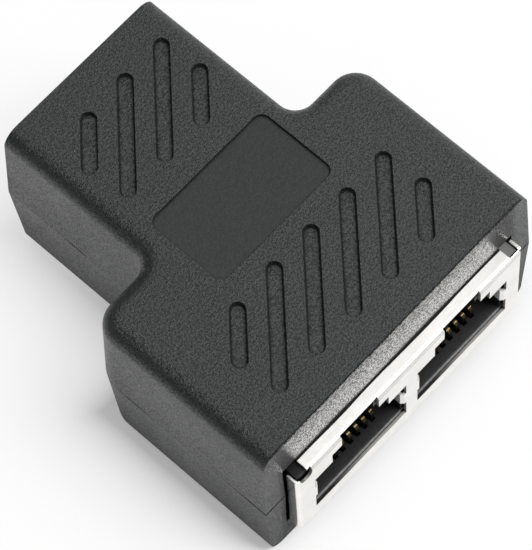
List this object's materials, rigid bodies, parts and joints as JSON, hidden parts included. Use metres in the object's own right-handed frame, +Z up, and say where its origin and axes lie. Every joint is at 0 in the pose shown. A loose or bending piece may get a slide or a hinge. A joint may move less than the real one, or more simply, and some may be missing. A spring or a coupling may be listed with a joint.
{
  "type": "ethernet splitter adapter",
  "caption": "T-shaped ethernet splitter adapter in dark textured plastic, with shielded sockets side by side at the wide end and another at the narrow end.",
  "frame": {"origin": "on the resting surface, below the middle of the bounding box", "axes": "+Z up, the double socket faces -Y and the single socket +Y, X across the wide end"},
  "size_m": [0.0364, 0.0434, 0.0224],
  "materials": {
    "housing": "fine spark-eroded grain, dark grey",
    "insert": "smooth black moulding",
    "carrier": "smooth black moulding",
    "shield": "bright nickel plate on thin sheet",
    "contact": "gold plate on spring bronze",
    "board": "green solder mask on glass-fibre laminate"
  },
  "bodies": {
    "root": {"bottom_shell": "housing", "circuit_board": "board", "front_jack_housing": "insert", "front_left_contact_1": "contact", "front_left_contact_2": "contact", "front_left_contact_3": "contact", "front_left_contact_4": "contact", "front_left_contact_5": "contact", "front_left_contact_6": "contact", "front_left_contact_7": "contact", "front_left_contact_8": "contact", "front_left_contact_carrier": "carrier", "front_right_contact_1": "contact", "front_right_contact_2": "contact", "front_right_contact_3": "contact", "front_right_contact_4": "contact", "front_right_contact_5": "contact", "front_right_contact_6": "contact", "front_right_contact_7": "contact", "front_right_contact_8": "contact", "front_right_contact_carrier": "carrier", "front_shield": "shield", "rear_contact_1": "contact", "rear_contact_2": "contact", "rear_contact_3": "contact", "rear_contact_4": "contact", "rear_contact_5": "contact", "rear_contact_6": "contact", "rear_contact_7": "contact", "rear_contact_8": "contact", "rear_contact_carrier": "carrier", "rear_jack_housing": "insert", "rear_shield": "shield", "top_shell": "housing"}
  },
  "joints": []
}
